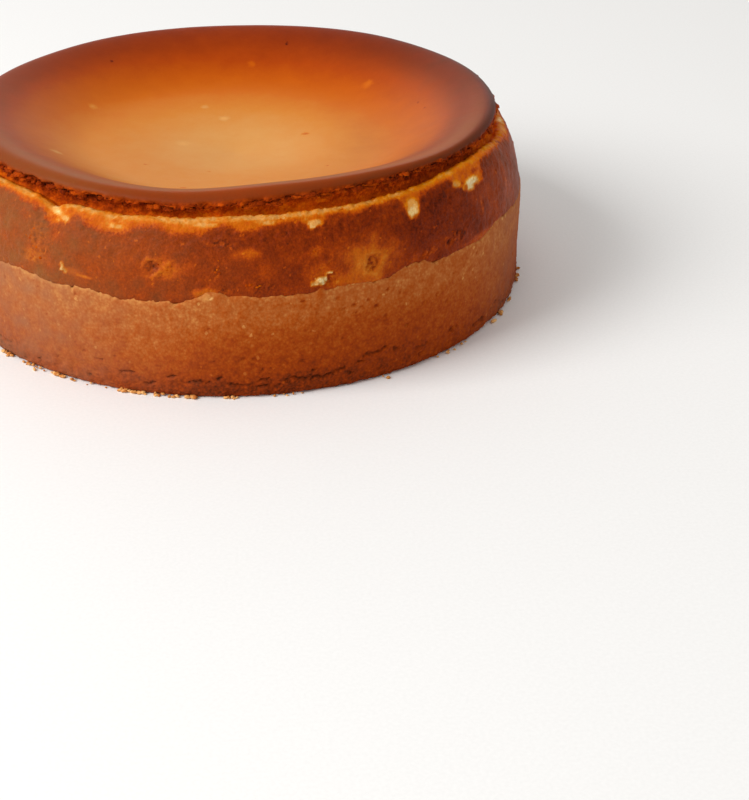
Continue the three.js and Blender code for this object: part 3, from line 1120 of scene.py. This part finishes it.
# %% Crumbs round the foot
# Clusters along the foot: angle and half width in degrees, how many, the largest across.
FOOT_CLUSTERS = [
    (-48.5, 2.5, 12, 2.2),
    (-41.5, 2.2, 10, 2.0),
    (-35.5, 1.8, 12, 2.4),
    (-30.0, 4.0, 8, 1.6),
    (-21.5, 1.6, 14, 2.8),
    (-19.0, 1.8, 9, 2.2),
    (-15.5, 1.5, 7, 1.8),
    (-12.5, 1.0, 6, 2.0),
    (-9.0, 0.9, 7, 2.2),
    (-2.0, 1.1, 8, 2.4),
    (8.0, 4.0, 6, 1.3),
    (26.5, 0.5, 2, 1.8),
    (42.0, 5.0, 7, 1.5),
]
for middle in np.arange(62, 306, 7.5):
    middle = middle + rng.uniform(-3, 3)
    FOOT_CLUSTERS.append((middle, rng.uniform(0.8, 3), rng.integers(2, 13), rng.uniform(1.4, 2.8)))
shapes, browned = [], []
for middle, half_width, count, largest in FOOT_CLUSTERS:
    for _ in range(count):
        size = 0.7 + (largest - 0.7) * rng.beta(1.4, 1.8)
        where = math.radians(middle + 0.6 * half_width * rng.normal())
        radius = TIN_RADIUS - 0.3 + 0.3 * size + rng.exponential(0.35)
        shape = set_on_side(lumpy_crumb(size) * (1, 1, 0.62), where, radius, 0)
        shape[:, 2] += rng.uniform(0, 0.5) * (radius < TIN_RADIUS + 0.5) - shape[:, 2].min()
        shapes.append(shape)
        browned.append(rng.uniform(0.0, 0.32))
loose_crumbs = joined_piece("loose_crumbs", shapes, BALL_FACES, browned)

# %% [markdown]
# **Baked custard skin.** Eggs, sugar and cheese brown in steps, from cream through gold and
# orange to a dark red brown, so one colour ramp serves the whole filling and every point only
# says how far along it is. The skin is thin and a little fatty, which gives the eye a satin
# sheen at a low angle. Torn places have no skin and are dull. The typical IOR of fat and custard
# is about 1.46.

# %% Browning of the custard, and layers of pattern
BROWNING = [
    (0.0, "f2dcae"),
    (0.14, "ecc888"),
    (0.26, "df9f52"),
    (0.34, "d5944b"),
    (0.44, "d17e26"),
    (0.54, "ca6505"),
    (0.64, "be5500"),
    (0.72, "aa4000"),
    (0.8, "8e3000"),
    (0.88, "762300"),
    (0.94, "541703"),
    (1.0, "290a02"),
]
FAT_IOR = 1.46
custard_skin, tree, shader, place = new_material("baked_custard_skin")
says = {}
for name in ("browned", "torn", "wall", "dust_and_sheen", "frayed", "painted_glow"):
    says[name] = add(tree, "ShaderNodeAttribute", attribute_name=name).outputs["Fac"]


def layered(tree, total, layers):
    """`total` plus each pattern, less its middle of a half, times the pattern's amount."""
    for pattern, amount in layers:
        centred = add(tree, "ShaderNodeMath", {0: pattern, 1: 0.5}, operation="SUBTRACT")
        sockets = {0: centred, 1: amount, 2: total}
        total = add(tree, "ShaderNodeMath", sockets, operation="MULTIPLY_ADD")
    return total


# %% [markdown]
# Mottling lies nearly a centimetre across, freckles a millimetre, and the grain is finer still.
# The side is the roughest, so there they show most. Single lighter flecks on it are painted
# glints of the skin's tiny glossy bumps.

# %% Patterns of the custard skin
# Name, width in millimetres and finer octaves, then the value that the amount follows, and the
# factor and the constant that turn that value into the amount.
PATTERNS = [
    ("mottle", 9, 3, "wall", 0.08, 0.07),
    ("freckles", 1, 2, "wall", 0.17, 0.03),
    ("grain", 0.8, 3, "frayed", 0.34, 0),
    ("blisters", 4, 2, "wall", 0.5, 0.06),
]
GLINTS_PER_MM, GLINT_RARITY, GLINT_LIGHT = 1.2, 0.93, -0.12
layers = {}
for name, width, octaves, value, times, plus in PATTERNS:
    sockets = {"Vector": place, "Scale": 1 / (width * MM), "Detail": octaves, "Roughness": 0.6}
    pattern = add(tree, "ShaderNodeTexNoise", sockets)
    sockets = {0: says[value], 1: times, 2: plus}
    layers[name] = (pattern, add(tree, "ShaderNodeMath", sockets, operation="MULTIPLY_ADD"))
how_brown = layered(tree, says["browned"], [layers[n] for n in ("mottle", "freckles", "grain")])
# Lighter flecks on the side: painted glints.
glint_cells = add(tree, "ShaderNodeTexVoronoi", {"Vector": place, "Scale": GLINTS_PER_MM / MM})
sockets = {0: glint_cells.outputs["Color"], 1: GLINT_RARITY}
chosen = add(tree, "ShaderNodeMath", sockets, operation="GREATER_THAN")
light = add(tree, "ShaderNodeMath", {0: chosen, 1: says["wall"]}, operation="MULTIPLY")
sockets = {0: light, 1: GLINT_LIGHT, 2: how_brown}
how_brown = add(tree, "ShaderNodeMath", sockets, operation="MULTIPLY_ADD")

# %% [markdown]
# The top has a few spots of its own, pale where a bubble rose and dark where sugar burnt. Each
# is a soft disc at its place, and a little noise in the place makes it irregular.

# %% Spots on the top
# Spots are x, y and radius in millimetres, and the change of browning.
TOP_SPOTS = [
    (-66.9, -28.3, 3.4, -0.22),
    (-2.6, 33.7, 3.2, -0.13),
    (-11.0, 44.0, 2.6, -0.11),
    (-57.3, 34.7, 2.8, -0.14),
    (59.4, 47.0, 3.4, -0.14),
    (10.2, 77.0, 2.6, -0.08),
    (-20.0, 8.0, 4.0, -0.06),
    (30.7, 12.7, 1.9, 0.24),
    (37.2, -29.6, 1.3, 0.2),
    (-9.0, -25.5, 1.1, 0.14),
    (-33.5, -22.1, 1.4, 0.2),
    (-18.6, -51.0, 1.2, 0.16),
    (-50.9, 68.8, 1.2, 0.2),
    (26.2, 85.8, 1.2, 0.18),
    (77.4, 14.5, 1.0, 0.16),
    (79.3, 6.4, 1.1, 0.16),
]
WOBBLE, WOBBLE_WIDTH = 3, 2
sockets = {"Vector": place, "Scale": 1 / (WOBBLE_WIDTH * MM), "Detail": 2}
wobble = add(tree, "ShaderNodeTexNoise", sockets).outputs["Color"]
sockets = {0: wobble, 1: (WOBBLE * MM, WOBBLE * MM, 0), 2: place}
wobbled = add(tree, "ShaderNodeVectorMath", sockets, operation="MULTIPLY_ADD")
level = add(tree, "ShaderNodeVectorMath", {0: wobbled, 1: (1, 1, 0)}, operation="MULTIPLY")
for x, y, radius, change in TOP_SPOTS:
    sockets = {0: level, 1: (x * MM, y * MM, 0)}
    away = add(tree, "ShaderNodeVectorMath", sockets, operation="DISTANCE").outputs["Value"]
    sockets = {"Value": away, "From Max": radius * MM, "To Min": change, "To Max": 0}
    spot = add(tree, "ShaderNodeMapRange", sockets, interpolation_type="SMOOTHSTEP")
    how_brown = add(tree, "ShaderNodeMath", {0: how_brown, 1: spot}, operation="ADD")

# %% Colour of the custard skin
# A dull greyish brown mixed into the skin: partly dust, partly painted sheen.
DUST_AND_SHEEN_BROWN = "905a2c"
ramp = add(tree, "ShaderNodeValToRGB", {"Fac": how_brown}, stops=BROWNING)
uneven_dust_and_sheen = add(tree, "ShaderNodeMath", {0: layers["mottle"][0], 1: 0.5}, operation="ADD")
dust_and_sheen_share = add(tree, "ShaderNodeMath", {0: says["dust_and_sheen"], 1: uneven_dust_and_sheen}, operation="MULTIPLY")
sockets = {0: dust_and_sheen_share, 6: ramp, 7: linear(DUST_AND_SHEEN_BROWN)}
with_dust_and_sheen = add(tree, "ShaderNodeMix", sockets, data_type="RGBA").outputs[2]
# Painted glow: where light would shine through damp torn filling, it is drawn brighter and a
# little richer.
glow = {"Color": with_dust_and_sheen}
for socket, gain in (("Value", 0.3), ("Saturation", 0.06)):
    sockets = {0: says["painted_glow"], 1: gain, 2: 1}
    glow[socket] = add(tree, "ShaderNodeMath", sockets, operation="MULTIPLY_ADD")
colour = add(tree, "ShaderNodeHueSaturation", glow)

# %% [markdown]
# Unbroken skin is satin and torn filling is dull. On the side, blisters of thin glossy skin
# alternate with duller places, and pores too fine for the mesh are drawn as bump. The skin lets
# a little light in, red the furthest.

# %% Gloss and pores of the custard skin
SATIN, DULL = 0.44, 0.9
TOP_PORES, SIDE_PORES, PORE_DEPTH, PORE_WIDTH = 0.04, 0.8, 0.4, 0.9
sockets = {"Value": says["torn"], "To Min": SATIN, "To Max": DULL}
dullness = layered(tree, add(tree, "ShaderNodeMapRange", sockets), [layers["blisters"]])
sockets = {"Value": says["wall"], "To Min": TOP_PORES, "To Max": SIDE_PORES}
strength = add(tree, "ShaderNodeMapRange", sockets)
sockets = {"Vector": place, "Scale": 1 / (PORE_WIDTH * MM), "Detail": 4, "Roughness": 0.6}
pores = add(tree, "ShaderNodeTexNoise", sockets)
sockets = {"Strength": strength, "Distance": PORE_DEPTH * MM, "Height": pores}
bump = add(tree, "ShaderNodeBump", sockets)
fill(
    tree,
    shader,
    {
        "Base Color": colour,
        "Roughness": dullness,
        "Normal": bump,
        "IOR": FAT_IOR,
        "Specular IOR Level": 0.07,
        "Subsurface Weight": 0.08,
        "Subsurface Radius": (1, 0.4, 0.15),
        "Subsurface Scale": 2 * MM,
    },
)
for piece in (baked_filling, torn_skin_flakes, clinging_crumbs):
    piece.data.materials.append(custard_skin)
print(f"{custard_skin.name}: {len(tree.nodes)} nodes")

# %% [markdown]
# **Pressed biscuit crumb.** Butter dulls the crumbs and baking turns them golden brown. The eye
# reads it as matt and grainy, with single crumbs lighter and the pores between them darker, so
# the grain is drawn in cells about a millimetre wide.

# %% Material of the crust
CRUMB_BROWNING = [
    (0.0, "f4bc78"),
    (0.2, "d08c48"),
    (0.4, "b46026"),
    (0.5, "aa4e0c"),
    (0.6, "9e3e00"),
    (0.7, "8c3200"),
    (0.85, "5e2204"),
    (1.0, "2e0e03"),
]
# The dull greyish crumb colour: partly dust, partly painted sheen.
CRUMB_DUST_AND_SHEEN = "966446"
CELLS_PER_MM = 0.9
# One crumb in twelve is a light speck.
SPECK_RARITY, SPECK_LIGHT = 0.92, -0.15
biscuit_crumb, tree, shader, place = new_material("pressed_biscuit_crumb")
browned, dust_and_sheen = (
    add(tree, "ShaderNodeAttribute", attribute_name=name).outputs["Fac"]
    for name in ("browned", "dust_and_sheen")
)
cells = add(tree, "ShaderNodeTexVoronoi", {"Vector": place, "Scale": CELLS_PER_MM / MM})
layers = [(cells, 0.14)]
# Grain, mottling and clouds: width in millimetres, finer octaves and amount.
for width, octaves, amount in ((1.2, 4, 0.28), (3.2, 2, 0.22), (12, 2, 0.1)):
    sockets = {"Vector": place, "Scale": 1 / (width * MM), "Detail": octaves, "Roughness": 0.6}
    layers.append((add(tree, "ShaderNodeTexNoise", sockets), amount))
grain, clouds = layers[1][0], layers[3][0]
how_brown = layered(tree, browned, layers)
sockets = {0: cells.outputs["Color"], 1: SPECK_RARITY}
light = add(tree, "ShaderNodeMath", sockets, operation="GREATER_THAN")
sockets = {0: light, 1: SPECK_LIGHT, 2: how_brown}
how_brown = add(tree, "ShaderNodeMath", sockets, operation="MULTIPLY_ADD")

# %% Colour and grain of the crust
ramp = add(tree, "ShaderNodeValToRGB", {"Fac": how_brown}, stops=CRUMB_BROWNING)
# Mixes in the dull greyish colour: partly dust, partly painted sheen.
uneven_dust_and_sheen = add(tree, "ShaderNodeMath", {0: clouds, 1: 0.5}, operation="ADD")
dust_and_sheen_share = add(tree, "ShaderNodeMath", {0: dust_and_sheen, 1: uneven_dust_and_sheen}, operation="MULTIPLY")
sockets = {0: dust_and_sheen_share, 6: ramp, 7: linear(CRUMB_DUST_AND_SHEEN)}
colour = add(tree, "ShaderNodeMix", sockets, data_type="RGBA").outputs[2]
sockets = {"Strength": 0.6, "Distance": PORE_DEPTH * MM, "Height": grain}
bump = add(tree, "ShaderNodeBump", sockets)
sockets = {"Base Color": colour, "Normal": bump, "Roughness": 0.7, "IOR": FAT_IOR}
fill(tree, shader, {**sockets, "Specular IOR Level": 0.1})
for piece in (pressed_crust, loose_crumbs):
    piece.data.materials.append(biscuit_crumb)
print(f"{biscuit_crumb.name}: {len(tree.nodes)} nodes")

# %% [markdown]
# Each fine surface stands for its solid, the loose pieces are additions to it, and all of them
# move with the cake's one body.

# %% Tie the pieces to the frame
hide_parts("cheese_filling")
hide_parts("crumb_crust")
pieces = (baked_filling, torn_skin_flakes, clinging_crumbs, pressed_crust, loose_crumbs)
for piece in pieces:
    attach(piece, "root")

# %% Sizes, and the end
for piece in pieces:
    triangles = sum(len(face.vertices) - 2 for face in piece.data.polygons)
    print(f"{piece.name}: {triangles} triangles")
